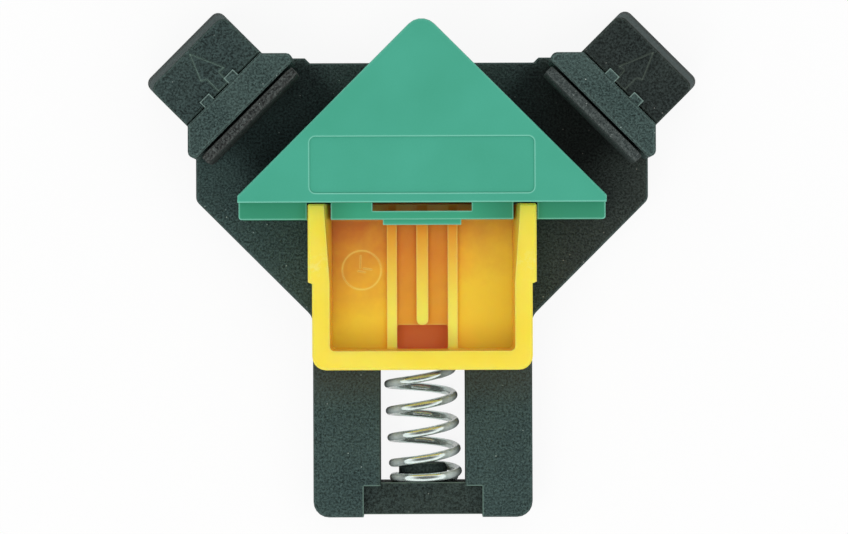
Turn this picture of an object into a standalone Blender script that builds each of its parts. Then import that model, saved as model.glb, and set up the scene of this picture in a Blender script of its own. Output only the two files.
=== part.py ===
"""One-hand corner clamp for boards 10 to 22 mm thick.

Two boards stand between the corner block and the jaws. Squeezing the finger slider towards the
rear crossbar pulls the corner block back and compresses the spring, and letting go clamps them.
The frame has +Z up from the underside, +Y towards the point of the corner and X across.
"""

import math

import bmesh
import bpy

MM = 0.001

# Running gap between pieces that touch or slide on each other
GAP = 0.3 * MM

# Base: deck, rails and crossbar
BASE_SKIN = 2.4 * MM
BASE_WALL = 2.2 * MM
BASE_EDGE = 0.9 * MM
DECK_SIDE_END = 13.9 * MM
SHOULDER_STEP = 1.1 * MM
SHOULDER_X = 26.0 * MM
RAIL_HALF_WIDTH = 24.4 * MM
RAIL_END = -56.65 * MM
RAIL_CORNER = 3.5 * MM
CROSSBAR_LENGTH = 7.1 * MM
CROSSBAR_INSET = 0.6 * MM
CROSSBAR_DROP = 2.3 * MM
NOTCH_LENGTH = 7.0 * MM
NOTCH_SHOULDER = 3.8 * MM
BASE_RIB = 1.6 * MM
RAIL_RIBS = 3
DECK_RIB_SPACING = 15.0 * MM
CHANNEL_HEIGHT = 5.0 * MM

# Corner block
CORNER_TIP_Y = 54.85 * MM
CORNER_TIP_RADIUS = 4.0 * MM
CORNER_SIDE_RADIUS = 0.6 * MM
CORNER_FLAT = 1.45 * MM
CORNER_SKIN = 2.5 * MM
CORNER_WALL = 2.4 * MM
CORNER_EDGE = 0.35 * MM
PLATE_REAR = 13.2 * MM
LEDGE_DEPTH = 3.7 * MM
LEDGE_DROP = 8.0 * MM
LEDGE_SKIN = 2.0 * MM
LEDGE_WALL = 1.6 * MM
LEDGE_SLOT_HALF_WIDTH = 10.9 * MM
LEDGE_SLOT_DEPTH = 1.85 * MM
TAB_HALF_WIDTH = 8.6 * MM
TAB_REACH = 1.15 * MM
TAB_LOW = 0.2
TAB_HIGH = 0.6
PANEL_SIDE_MARGIN = 2.85 * MM
PANEL_WIDTH = 12.3 * MM
PANEL_DEPTH = 0.5 * MM
PANEL_RADIUS = 1.3 * MM
PANEL_REAR_MARGIN = 2.0 * MM
CORNER_RIB = 1.6 * MM
CORNER_RIB_X = 22.0 * MM
CORNER_RIB_Y = 38.0 * MM
CORNER_RIB_RISE = 1.7 * MM

# Finger slider
SLIDE_TRAVEL = 19.0 * MM
TRAY_INSET = 0.3 * MM
TRAY_REAR = -23.45 * MM
TRAY_CORNER = 3.0 * MM
TRAY_INNER_CORNER = 1.1 * MM
TRAY_EDGE = 0.45 * MM
TRAY_WALL = 3.8 * MM
TRAY_DRAFT = 0.35 * MM
TRAY_DEPTH = 14.0 * MM
TRAY_LIFT = 5.7 * MM
TRAY_SKIN = 2.4 * MM
ARM_STEP_Y = -4.4 * MM
ARM_BULGE = 0.9 * MM
ARM_STEP_RUN = 0.4 * MM
ARM_INNER_SLOPE = 1.3 * MM
TRAY_RIB_HEIGHT = 2.0 * MM
SIDE_RIB_X = 6.7 * MM
SIDE_RIB_WIDTH = 2.2 * MM
MIDDLE_RIB_WIDTH = 2.6 * MM
POCKET_LENGTH = 5.6 * MM
POCKET_CORNER = 0.5 * MM
POCKET_SKIN = 1.2 * MM
RUNNER_WIDTH = 2.2 * MM
TONGUE_REAR = -3.3 * MM
TONGUE_LENGTH = 15.0 * MM
TONGUE_WALL = 1.8 * MM
TONGUE_SEAT = 2.5 * MM
TONGUE_BOTTOM = 2.0 * MM
HOOK_REACH = 1.9 * MM
CARRIER_HALF_WIDTH = 15.0 * MM
PIN_RADIUS = 3.0 * MM
PIN_X = 9.5 * MM
PIN_INSET = 8.0 * MM
PIN_LENGTH = 13.3 * MM
BOSS_WALL = 1.8 * MM

# Spring
WIRE = 1.9 * MM
SPRING_DIAMETER = 16.4 * MM
SPRING_HEADROOM = 0.8 * MM
SPRING_SIDE_ROOM = 1.25 * MM
SPRING_PITCH = 6.05 * MM
SPRING_START_TURN = 0.32
CLOSED_TURNS = 1.4
CLOSED_PITCH = 1.06
POINTS_PER_TURN = 18
PEG_CLEARANCE = 0.9 * MM
PEG_LENGTH = 4.2 * MM
SEAT_PEG_LENGTH = 4.2 * MM
PEG_TAPER = 0.5 * MM

# Jaws, measured outwards from the middle of the clamp along each jaw's own axis
BOARD_GAP = 9.125 * MM
JAW_HEIGHT = 23.7 * MM
JAW_SHIFT = 3.7 * MM
JAW_OVERHANG = 0.65 * MM
JAW_LIP = 0.12 * MM
PAD_THICKNESS = 2.75 * MM
PAD_HALF_LENGTH = 14.1 * MM
JAW_PLATE_THICKNESS = 6.3 * MM
JAW_PLATE_HALF_LENGTH = 17.4 * MM
JAW_PLATE_CORNER = 1.3 * MM
JAW_EDGE = 0.4 * MM
POST_HALF_WIDTH = 11.3 * MM
POST_DEPTH = 11.3 * MM
POST_CORNER = 1.9 * MM
POST_BACK_SLOPE = 4.3 * MM
POST_DRAFT = 0.5 * MM
POST_WALL = 2.4 * MM
TOOTH_WIDTH = 2.8 * MM
TOOTH_REACH = 1.65 * MM
TOOTH_HEIGHT = 1.3 * MM
TOOTH_SPACING = 7.4 * MM
TOOTH_SHIFT = 0.6 * MM

# Sizes that follow from the ones above
SLANT = math.sqrt(0.5)
BASE_HEIGHT = SPRING_DIAMETER + 2 * SPRING_HEADROOM
SPRING_AXIS_Z = BASE_HEIGHT / 2
SLOT_HALF_WIDTH = SPRING_DIAMETER / 2 + SPRING_SIDE_ROOM
NOTCH_HALF_WIDTH = SLOT_HALF_WIDTH + NOTCH_SHOULDER
DECK_TOP = BASE_HEIGHT + GAP
JAW_TOP = DECK_TOP + JAW_HEIGHT
POST_TOP = JAW_TOP - TOOTH_HEIGHT - GAP
FENCE = CORNER_TIP_Y * SLANT
PAD_FACE = FENCE + BOARD_GAP
PLATE_FACE = PAD_FACE + PAD_THICKNESS + GAP
PLATE_BACK = PLATE_FACE + JAW_PLATE_THICKNESS
POST_FACE = PLATE_BACK + GAP
DECK_HALF_WIDTH = (PLATE_FACE + JAW_PLATE_HALF_LENGTH + JAW_SHIFT) * SLANT - JAW_OVERHANG
DECK_SHOULDER = (PLATE_FACE + JAW_PLATE_HALF_LENGTH - JAW_SHIFT) * SLANT - JAW_LIP
DECK_FRONT = DECK_SHOULDER - SHOULDER_STEP
CROSSBAR_REAR = RAIL_END + CROSSBAR_INSET
CROSSBAR_FRONT = CROSSBAR_REAR + CROSSBAR_LENGTH
NOTCH_FRONT = RAIL_END + NOTCH_LENGTH
CORNER_TOP = JAW_TOP
CORNER_HALF_WIDTH = CORNER_TIP_Y - PLATE_REAR - CORNER_FLAT
LEDGE_REAR = PLATE_REAR - LEDGE_DEPTH
LEDGE_TOP = CORNER_TOP - LEDGE_DROP
PANEL_FRONT = PLATE_REAR + PANEL_REAR_MARGIN + PANEL_WIDTH
PANEL_HALF_LENGTH = CORNER_TIP_Y - PANEL_FRONT - PANEL_SIDE_MARGIN
TRAY_FLOOR = DECK_TOP + TRAY_LIFT
TRAY_TOP = TRAY_FLOOR + TRAY_DEPTH
TRAY_HALF_WIDTH = RAIL_HALF_WIDTH - TRAY_INSET
TRAY_INNER = TRAY_HALF_WIDTH - TRAY_WALL
TRAY_INNER_REAR = TRAY_REAR + TRAY_WALL + GAP
ARM_END = PLATE_REAR - GAP
ARM_OUTER = TRAY_HALF_WIDTH + ARM_BULGE
RIB_TOP = TRAY_FLOOR + TRAY_RIB_HEIGHT
SKIRT_BOTTOM = RIB_TOP + GAP
CORNER_RIB_BOTTOM = SKIRT_BOTTOM + CORNER_RIB_RISE
LEDGE_FACE = LEDGE_TOP - SKIRT_BOTTOM
TONGUE_HALF_WIDTH = SLOT_HALF_WIDTH - GAP
TONGUE_FRONT = TONGUE_REAR + TONGUE_LENGTH
SLOT_FRONT = TONGUE_FRONT + GAP
CORNER_INNER_TIP = CORNER_TIP_Y - CORNER_WALL / SLANT
CARRIER_FRONT = CORNER_INNER_TIP - CARRIER_HALF_WIDTH - GAP / SLANT
CARRIER_TOP = DECK_TOP + TRAY_SKIN
PIN_Y = CARRIER_FRONT - PIN_INSET
PIN_TOP = CARRIER_TOP + PIN_LENGTH
COIL_RADIUS = (SPRING_DIAMETER - WIRE) / 2
PEG_RADIUS = SPRING_DIAMETER / 2 - WIRE - PEG_CLEARANCE
OVERRUN = 1.0 * MM


def collection(name):
    found = bpy.data.collections.new(name)
    bpy.context.scene.collection.children.link(found)
    return found


def material(name, colour, roughness, metallic=0.0):
    made = bpy.data.materials.new(name)
    made.use_nodes = True
    shader = made.node_tree.nodes["Principled BSDF"]
    shader.inputs["Base Color"].default_value = (*colour, 1.0)
    shader.inputs["Roughness"].default_value = roughness
    shader.inputs["Metallic"].default_value = metallic
    made.diffuse_color = (*colour, 1.0)
    return made


def new_object(name, bm):
    """Closes a bmesh into an object in the cutter collection, faces pointing out."""
    bmesh.ops.recalc_face_normals(bm, faces=bm.faces)
    mesh = bpy.data.meshes.new(name)
    bm.to_mesh(mesh)
    bm.free()
    made = bpy.data.objects.new(name, mesh)
    cutters.objects.link(made)
    made.hide_render = True
    made.display_type = "WIRE"
    return made


def as_part(made, look, parent=None):
    """Moves an object from the cutters to the clamp's own pieces."""
    cutters.objects.unlink(made)
    clamp.objects.link(made)
    made.hide_render = False
    made.display_type = "TEXTURED"
    made.data.materials.append(look)
    if parent:
        made.parent = parent
        made.matrix_parent_inverse = parent.matrix_world.inverted()
    return made


def rounded(corners, segments=5):
    """An outline from (x, y) or (x, y, radius) corners, each radius as an arc."""
    outline = []
    count = len(corners)
    for i, corner in enumerate(corners):
        x, y = corner[:2]
        radius = corner[2] if len(corner) > 2 else 0.0
        if radius <= 0.0:
            outline.append((x, y))
            continue
        before = corners[i - 1]
        after = corners[(i + 1) % count]
        to_before = math.atan2(before[1] - y, before[0] - x)
        to_after = math.atan2(after[1] - y, after[0] - x)
        turn = (to_after - to_before + math.pi) % (2 * math.pi) - math.pi
        reach = radius / math.tan(abs(turn) / 2)
        middle = to_before + turn / 2
        to_centre = radius / math.sin(abs(turn) / 2)
        centre_x = x + to_centre * math.cos(middle)
        centre_y = y + to_centre * math.sin(middle)
        start = math.atan2(
            y + reach * math.sin(to_before) - centre_y, x + reach * math.cos(to_before) - centre_x
        )
        sweep = math.copysign(math.pi - abs(turn), -turn)
        for k in range(segments + 1):
            angle = start + sweep * k / segments
            outline.append(
                (centre_x + radius * math.cos(angle), centre_y + radius * math.sin(angle))
            )
    return outline


def symmetric(half):
    """A whole outline from the corners of its +X half, rear to front."""
    return half + [(-corner[0], *corner[1:]) for corner in reversed(half)]


def rectangle(x0, x1, y0, y1):
    return [(x0, y0), (x1, y0), (x1, y1), (x0, y1)]


def loft(name, *levels):
    """A solid through (outline, height) levels, each outline with the same number of points."""
    bm = bmesh.new()
    rings = [[bm.verts.new((x, y, height)) for x, y in outline] for outline, height in levels]
    for lower, upper in zip(rings, rings[1:]):
        for i in range(len(lower)):
            bm.faces.new((lower[i - 1], lower[i], upper[i], upper[i - 1]))
    bm.faces.new(rings[0])
    bm.faces.new(rings[-1])
    return new_object(name, bm)


def prism(name, outline, low, high):
    return loft(name, (outline, low), (outline, high))


def box(name, x, y, z):
    """A block between two values of each coordinate."""
    bm = bmesh.new()
    bmesh.ops.create_cube(bm, size=1.0)
    for vert in bm.verts:
        vert.co = [
            span[0] + (span[1] - span[0]) * (part + 0.5) for span, part in zip((x, y, z), vert.co)
        ]
    return new_object(name, bm)


def cylinder(name, radius, top_radius, low, high, sides=24):
    """A round or tapered bar standing along Z."""
    bm = bmesh.new()
    bmesh.ops.create_cone(
        bm, cap_ends=True, segments=sides, radius1=radius, radius2=top_radius, depth=high - low
    )
    bmesh.ops.translate(bm, verts=bm.verts, vec=(0, 0, (low + high) / 2))
    return new_object(name, bm)


def peg(name, length):
    """A spring peg along +Y from its own origin, with a tapered tip."""
    bm = bmesh.new()
    tip = PEG_RADIUS - PEG_TAPER
    profile = [
        (0.0, length),
        (tip, length),
        (PEG_RADIUS, length - 2 * PEG_TAPER),
        (PEG_RADIUS, -OVERRUN),
        (0.0, -OVERRUN),
    ]
    verts = [bm.verts.new((radius, 0.0, z)) for radius, z in profile]
    edges = [bm.edges.new(pair) for pair in zip(verts, verts[1:])]
    bmesh.ops.spin(
        bm,
        geom=verts + edges,
        axis=(0, 0, 1),
        cent=(0, 0, 0),
        angle=2 * math.pi,
        steps=24,
        use_merge=True,
    )
    bmesh.ops.remove_doubles(bm, verts=bm.verts, dist=0.01 * MM)
    made = new_object(name, bm)
    made.rotation_euler.x = -math.pi / 2
    return made


def round_edges(made, height, width, segments=2):
    """Rounds the edges that lie flat at one height."""
    bm = bmesh.new()
    bm.from_mesh(made.data)
    flat = [e for e in bm.edges if all(abs(v.co.z - height) < 0.01 * MM for v in e.verts)]
    bmesh.ops.bevel(
        bm, geom=flat, offset=width, segments=segments, profile=0.5, affect="EDGES", clamp_overlap=True
    )
    bm.to_mesh(made.data)
    bm.free()


def combine(target, tool, operation):
    change = target.modifiers.new(tool.name, "BOOLEAN")
    change.operation = operation
    change.object = tool
    change.solver = "EXACT"


def cut(target, *tools):
    for tool in tools:
        combine(target, tool, "DIFFERENCE")


def join(target, *tools):
    for tool in tools:
        combine(target, tool, "UNION")


def jaw_outline(near, far, half_near, half_far, radius_near=0.0, radius_far=0.0):
    """Corners of a jaw piece in its own axes, X outwards and Y along the jaw."""
    return [
        (near, -half_near, radius_near),
        (far, -half_far, radius_far),
        (far, half_far, radius_far),
        (near, half_near, radius_near),
    ]


def place_on_jaw(made, side):
    """Turns a piece made along +X to the jaw's 45 degree axis, shifted to the rear."""
    angle = math.radians(90 - 45 * side)
    made.rotation_euler.z = angle
    shift = -side * JAW_SHIFT
    made.location.x = -math.sin(angle) * shift
    made.location.y = math.cos(angle) * shift


def deck_outline():
    return rounded(
        symmetric(
            [
                (RAIL_HALF_WIDTH, RAIL_END, RAIL_CORNER),
                (
                    RAIL_HALF_WIDTH,
                    DECK_SIDE_END - (DECK_HALF_WIDTH - RAIL_HALF_WIDTH),
                    RAIL_CORNER,
                ),
                (DECK_HALF_WIDTH, DECK_SIDE_END, BASE_WALL),
                (DECK_HALF_WIDTH, DECK_FRONT + SHOULDER_STEP, BASE_WALL),
                (SHOULDER_X, DECK_FRONT + SHOULDER_STEP),
                (SHOULDER_X - SHOULDER_STEP, DECK_FRONT),
            ]
        )
    )


def deck_hollow():
    """The open underside of the deck and rails, crossed by ribs."""
    wall = BASE_WALL
    knee = DECK_SIDE_END - (DECK_HALF_WIDTH - RAIL_HALF_WIDTH)
    slant = wall * math.tan(math.pi / 8)
    hollow = prism(
        "deck_hollow",
        symmetric(
            [
                (RAIL_HALF_WIDTH - wall, RAIL_END + wall),
                (RAIL_HALF_WIDTH - wall, knee + slant),
                (DECK_HALF_WIDTH - wall, DECK_SIDE_END + slant),
                (DECK_HALF_WIDTH - wall, DECK_FRONT - wall),
            ]
        ),
        -OVERRUN,
        BASE_HEIGHT - BASE_SKIN,
    )
    keep = [
        box(
            "slot_walls",
            (-SLOT_HALF_WIDTH - wall, SLOT_HALF_WIDTH + wall),
            (CROSSBAR_FRONT - OVERRUN, SLOT_FRONT + wall),
            (-2 * OVERRUN, BASE_HEIGHT),
        ),
        box(
            "crossbar_core",
            (-NOTCH_HALF_WIDTH - wall, NOTCH_HALF_WIDTH + wall),
            (RAIL_END, CROSSBAR_FRONT - 0.5 * OVERRUN),
            (-2 * OVERRUN, BASE_HEIGHT),
        ),
    ]
    rail_run = knee - CROSSBAR_FRONT
    for i in range(RAIL_RIBS):
        middle = CROSSBAR_FRONT + rail_run * i / (RAIL_RIBS - 1)
        keep.append(
            box(
                f"rail_rib_{i}",
                (-RAIL_HALF_WIDTH, RAIL_HALF_WIDTH),
                (middle - BASE_RIB / 2, middle + BASE_RIB / 2),
                (-1.5 * OVERRUN, BASE_HEIGHT),
            )
        )
    deck_run = DECK_FRONT - DECK_SIDE_END
    for i in range(int(deck_run / DECK_RIB_SPACING) + 1):
        middle = DECK_SIDE_END + DECK_RIB_SPACING * i
        keep.append(
            box(
                f"deck_rib_{i}",
                (-DECK_HALF_WIDTH, DECK_HALF_WIDTH),
                (middle - BASE_RIB / 2, middle + BASE_RIB / 2),
                (-1.5 * OVERRUN, BASE_HEIGHT),
            )
        )
    for side in (-1, 1):
        middle = side * (RAIL_HALF_WIDTH - wall / 2)
        keep.append(
            box(
                f"long_rib_{side}",
                (middle - BASE_RIB / 2, middle + BASE_RIB / 2),
                (knee, DECK_FRONT),
                (-1.2 * OVERRUN, BASE_HEIGHT),
            )
        )
    cut(hollow, *keep)
    return hollow


def jaw_post(side):
    """The block that stands behind each jaw plate, and the hollow inside it."""
    top = rounded(
        jaw_outline(
            POST_FACE, POST_FACE + POST_DEPTH, POST_HALF_WIDTH, POST_HALF_WIDTH, 0.0, POST_CORNER
        )
    )
    bottom = rounded(
        jaw_outline(
            POST_FACE,
            POST_FACE + POST_DEPTH + POST_BACK_SLOPE,
            POST_HALF_WIDTH + POST_DRAFT,
            POST_HALF_WIDTH + POST_DRAFT,
            0.0,
            POST_CORNER,
        )
    )
    post = loft(f"post_{side}", (bottom, 0.0), (top, POST_TOP))
    round_edges(post, POST_TOP, 0.5 * POST_DRAFT, 1)
    inner_top = jaw_outline(
        POST_FACE + POST_WALL,
        POST_FACE + POST_DEPTH - POST_WALL,
        POST_HALF_WIDTH - POST_WALL,
        POST_HALF_WIDTH - POST_WALL,
    )
    inner_bottom = jaw_outline(
        POST_FACE + POST_WALL,
        POST_FACE + POST_DEPTH + POST_BACK_SLOPE - POST_WALL,
        POST_HALF_WIDTH + POST_DRAFT - POST_WALL,
        POST_HALF_WIDTH + POST_DRAFT - POST_WALL,
    )
    hollow = loft(
        f"post_hollow_{side}",
        ([corner[:2] for corner in inner_bottom], -OVERRUN),
        ([corner[:2] for corner in inner_top], POST_TOP - POST_WALL),
    )
    for made in (post, hollow):
        place_on_jaw(made, side)
    return post, hollow


def slot_mouth():
    """The lowered middle of the crossbar and the rounded upper edges of the slot."""
    start = 1.0 - SLANT
    levels = [
        (0.0, BASE_HEIGHT - CROSSBAR_DROP),
        (0.0, BASE_HEIGHT - BASE_EDGE),
        (start * BASE_EDGE, BASE_HEIGHT - start * BASE_EDGE),
        (BASE_EDGE, BASE_HEIGHT),
        (BASE_EDGE, BASE_HEIGHT + OVERRUN),
    ]
    return loft(
        "slot_mouth",
        *[
            (
                rectangle(
                    -SLOT_HALF_WIDTH - out, SLOT_HALF_WIDTH + out, NOTCH_FRONT - OVERRUN, SLOT_FRONT + out
                ),
                height,
            )
            for out, height in levels
        ],
    )


def base_frame(look):
    base = prism("base_frame", deck_outline(), 0.0, BASE_HEIGHT)
    round_edges(base, BASE_HEIGHT, BASE_EDGE)
    slot = box(
        "rail_slot",
        (-SLOT_HALF_WIDTH, SLOT_HALF_WIDTH),
        (CROSSBAR_FRONT, SLOT_FRONT),
        (-OVERRUN, BASE_HEIGHT + OVERRUN),
    )
    notch = box(
        "crossbar_notch",
        (-NOTCH_HALF_WIDTH, NOTCH_HALF_WIDTH),
        (RAIL_END - OVERRUN, NOTCH_FRONT),
        (BASE_HEIGHT - CROSSBAR_DROP, BASE_HEIGHT + OVERRUN),
    )
    inset = box(
        "crossbar_inset",
        (-NOTCH_HALF_WIDTH, NOTCH_HALF_WIDTH),
        (RAIL_END - 2 * OVERRUN, CROSSBAR_REAR),
        (-OVERRUN, BASE_HEIGHT + 2 * OVERRUN),
    )
    channel = box(
        "hook_channel",
        (-SLOT_HALF_WIDTH - BASE_WALL - OVERRUN, SLOT_HALF_WIDTH + BASE_WALL + OVERRUN),
        (TONGUE_REAR - SLIDE_TRAVEL - GAP, SLOT_FRONT),
        (-OVERRUN, CHANNEL_HEIGHT),
    )
    spring_peg = peg("base_peg", PEG_LENGTH)
    spring_peg.location = (0.0, CROSSBAR_FRONT, SPRING_AXIS_Z)
    posts = [jaw_post(side) for side in (-1, 1)]
    join(base, *[post for post, _ in posts])
    cut(base, deck_hollow(), *[hollow for _, hollow in posts])
    cut(base, slot, notch, inset, slot_mouth(), channel)
    join(base, spring_peg)
    return as_part(base, look)


def corner_outline(half_width, rear, tip, radius, side_radius=0.0):
    """The plan of the corner block: a right angle with short flats at its rear corners."""
    return rounded(
        [
            (half_width, rear, side_radius),
            (half_width, tip - half_width, side_radius),
            (0.0, tip, radius),
            (-half_width, tip - half_width, side_radius),
            (-half_width, rear, side_radius),
        ]
    )


def corner_block(look, parent):
    block = prism(
        "corner_block",
        corner_outline(
            CORNER_HALF_WIDTH, LEDGE_REAR, CORNER_TIP_Y, CORNER_TIP_RADIUS, CORNER_SIDE_RADIUS
        ),
        DECK_TOP,
        CORNER_TOP,
    )
    round_edges(block, CORNER_TOP, CORNER_EDGE)
    wide = CORNER_HALF_WIDTH + OVERRUN
    step = box(
        "plate_step", (-wide, wide), (LEDGE_REAR - OVERRUN, PLATE_REAR), (LEDGE_TOP, CORNER_TOP + OVERRUN)
    )
    inner_half = CORNER_HALF_WIDTH - CORNER_WALL
    inner_radius = CORNER_TIP_RADIUS - CORNER_WALL
    upper_rear = PLATE_REAR + CORNER_WALL
    upper_half = min(inner_half, CORNER_INNER_TIP - upper_rear - GAP)
    upper_hollow = prism(
        "plate_hollow",
        corner_outline(upper_half, upper_rear, CORNER_INNER_TIP, inner_radius),
        DECK_TOP - OVERRUN,
        CORNER_TOP - CORNER_SKIN,
    )
    lower_hollow = prism(
        "ledge_hollow",
        corner_outline(inner_half, LEDGE_REAR + LEDGE_WALL, CORNER_INNER_TIP, inner_radius),
        DECK_TOP - 1.5 * OVERRUN,
        LEDGE_TOP - LEDGE_SKIN,
    )
    ribs = [
        box(
            f"corner_rib_{side}",
            (side * CORNER_RIB_X - CORNER_RIB / 2, side * CORNER_RIB_X + CORNER_RIB / 2),
            (PLATE_REAR, CORNER_TIP_Y),
            (CORNER_RIB_BOTTOM, CORNER_TOP),
        )
        for side in (-1, 1)
    ]
    ribs.append(
        box(
            "corner_cross_rib",
            (-CORNER_HALF_WIDTH, CORNER_HALF_WIDTH),
            (CORNER_RIB_Y - CORNER_RIB / 2, CORNER_RIB_Y + CORNER_RIB / 2),
            (CORNER_RIB_BOTTOM, CORNER_TOP),
        )
    )
    rear_wall = box(
        "plate_rear_wall",
        (-inner_half + OVERRUN, inner_half - OVERRUN),
        (PLATE_REAR, PLATE_REAR + CORNER_WALL),
        (SKIRT_BOTTOM, CORNER_TOP),
    )
    bosses = []
    bores = []
    for side in (-1, 1):
        boss = cylinder(
            f"boss_{side}",
            PIN_RADIUS + GAP + BOSS_WALL,
            PIN_RADIUS + GAP + BOSS_WALL,
            CARRIER_TOP + GAP,
            CORNER_TOP,
        )
        bore = cylinder(
            f"bore_{side}", PIN_RADIUS + GAP, PIN_RADIUS + GAP, CARRIER_TOP - OVERRUN, PIN_TOP + GAP
        )
        for made in (boss, bore):
            made.location = (side * PIN_X, PIN_Y, 0.0)
        bosses.append(boss)
        bores.append(bore)
    cut(upper_hollow, *ribs, *bosses)
    cut(lower_hollow, *ribs, *bosses, rear_wall)
    tray_way = box(
        "tray_way",
        (-ARM_OUTER - GAP, ARM_OUTER + GAP),
        (LEDGE_REAR - OVERRUN, PLATE_REAR),
        (DECK_TOP - OVERRUN, SKIRT_BOTTOM),
    )
    carrier_way = box(
        "carrier_way",
        (-CARRIER_HALF_WIDTH - GAP, CARRIER_HALF_WIDTH + GAP),
        (PLATE_REAR - OVERRUN, PLATE_REAR + 2 * CORNER_WALL),
        (DECK_TOP - OVERRUN, SKIRT_BOTTOM),
    )
    notches = [
        box(
            f"arm_notch_{side}",
            sorted((side * (TRAY_INNER - GAP), side * (ARM_OUTER + GAP))),
            (LEDGE_REAR - OVERRUN, PLATE_REAR),
            (DECK_TOP - OVERRUN, LEDGE_TOP + OVERRUN),
        )
        for side in (-1, 1)
    ]
    ledge_slot = box(
        "ledge_slot",
        (-LEDGE_SLOT_HALF_WIDTH, LEDGE_SLOT_HALF_WIDTH),
        (PLATE_REAR - LEDGE_SLOT_DEPTH, PLATE_REAR),
        (SKIRT_BOTTOM, LEDGE_TOP + OVERRUN),
    )
    panel = prism(
        "top_panel",
        rounded(
            symmetric(
                [
                    (PANEL_HALF_LENGTH, PANEL_FRONT - PANEL_WIDTH, PANEL_RADIUS),
                    (PANEL_HALF_LENGTH, PANEL_FRONT, PANEL_RADIUS),
                ]
            )
        ),
        CORNER_TOP - PANEL_DEPTH,
        CORNER_TOP + OVERRUN,
    )
    tab = box(
        "ledge_tab",
        (-TAB_HALF_WIDTH, TAB_HALF_WIDTH),
        (LEDGE_REAR - TAB_REACH, LEDGE_REAR + LEDGE_WALL / 2),
        (SKIRT_BOTTOM + TAB_LOW * LEDGE_FACE, SKIRT_BOTTOM + TAB_HIGH * LEDGE_FACE),
    )
    cut(block, step, upper_hollow, lower_hollow, tray_way, carrier_way, *notches, ledge_slot)
    cut(block, *bores, panel)
    join(block, tab)
    return as_part(block, look, parent)


def finger_slider(look, parent):
    outline = rounded(
        symmetric(
            [
                (TRAY_HALF_WIDTH, TRAY_REAR, TRAY_CORNER),
                (TRAY_HALF_WIDTH, ARM_STEP_Y - ARM_STEP_RUN / 2),
                (ARM_OUTER, ARM_STEP_Y + ARM_STEP_RUN / 2),
                (ARM_OUTER, ARM_END, TRAY_EDGE),
            ]
        )
    )
    slider = prism("finger_slider", outline, DECK_TOP, TRAY_TOP)
    round_edges(slider, TRAY_TOP, 0.9 * TRAY_EDGE, 1)
    front = ARM_END + OVERRUN
    floor_outline = rounded(
        symmetric(
            [
                (TRAY_INNER - TRAY_DRAFT, TRAY_INNER_REAR + TRAY_DRAFT, TRAY_INNER_CORNER),
                (TRAY_INNER - TRAY_DRAFT, front),
            ]
        )
    )
    rim_outline = rounded(
        symmetric([(TRAY_INNER, TRAY_INNER_REAR, TRAY_INNER_CORNER), (TRAY_INNER, front)])
    )
    tray = loft("tray_hollow", (floor_outline, TRAY_FLOOR), (rim_outline, TRAY_TOP + OVERRUN))
    ribs = [
        box(
            f"side_rib_{side}",
            (side * SIDE_RIB_X - SIDE_RIB_WIDTH / 2, side * SIDE_RIB_X + SIDE_RIB_WIDTH / 2),
            (TRAY_INNER_REAR - OVERRUN, front + OVERRUN),
            (TRAY_FLOOR - OVERRUN, RIB_TOP),
        )
        for side in (-1, 1)
    ]
    pocket_front = TRAY_INNER_REAR + POCKET_LENGTH
    ribs.append(
        prism(
            "middle_rib",
            rounded(
                symmetric(
                    [
                        (MIDDLE_RIB_WIDTH / 2, pocket_front, 0.45 * MIDDLE_RIB_WIDTH),
                        (MIDDLE_RIB_WIDTH / 2, front + OVERRUN),
                    ]
                )
            ),
            TRAY_FLOOR - OVERRUN,
            RIB_TOP,
        )
    )
    cut(tray, *ribs)
    pocket_half = SIDE_RIB_X - SIDE_RIB_WIDTH / 2
    pocket = prism(
        "floor_pocket",
        rounded(
            symmetric(
                [
                    (pocket_half, TRAY_INNER_REAR + TRAY_DRAFT, POCKET_CORNER),
                    (pocket_half, pocket_front, POCKET_CORNER),
                ]
            ),
            3,
        ),
        DECK_TOP + POCKET_SKIN,
        TRAY_FLOOR + 0.5 * OVERRUN,
    )
    slopes = []
    for side in (-1, 1):
        inner = side * (TRAY_INNER - TRAY_DRAFT)
        near = inner - side * OVERRUN
        rim = side * TRAY_INNER
        far = side * (TRAY_INNER + ARM_INNER_SLOPE)
        opening = [(near, ARM_STEP_Y), (rim, ARM_STEP_Y), (far, front), (near, front)]
        slopes.append(
            loft(
                f"arm_slope_{side}",
                (rectangle(near, inner, ARM_STEP_Y, front), RIB_TOP + OVERRUN),
                (opening, TRAY_TOP + OVERRUN / 2),
            )
        )
    cut(slider, tray, pocket, *slopes, *underside_reliefs())
    join(slider, *tongue_parts(), carrier())
    pins = []
    for side in (-1, 1):
        pin = cylinder(f"pin_{side}", PIN_RADIUS, 0.9 * PIN_RADIUS, CARRIER_TOP - OVERRUN, PIN_TOP)
        pin.location = (side * PIN_X, PIN_Y, 0.0)
        pins.append(pin)
    join(slider, *pins)
    seat_peg = peg("seat_peg", SEAT_PEG_LENGTH)
    seat_peg.rotation_euler.x = math.pi / 2
    seat_peg.location = (0.0, TONGUE_REAR, SPRING_AXIS_Z)
    join(slider, seat_peg)
    return as_part(slider, look, parent)


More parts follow.
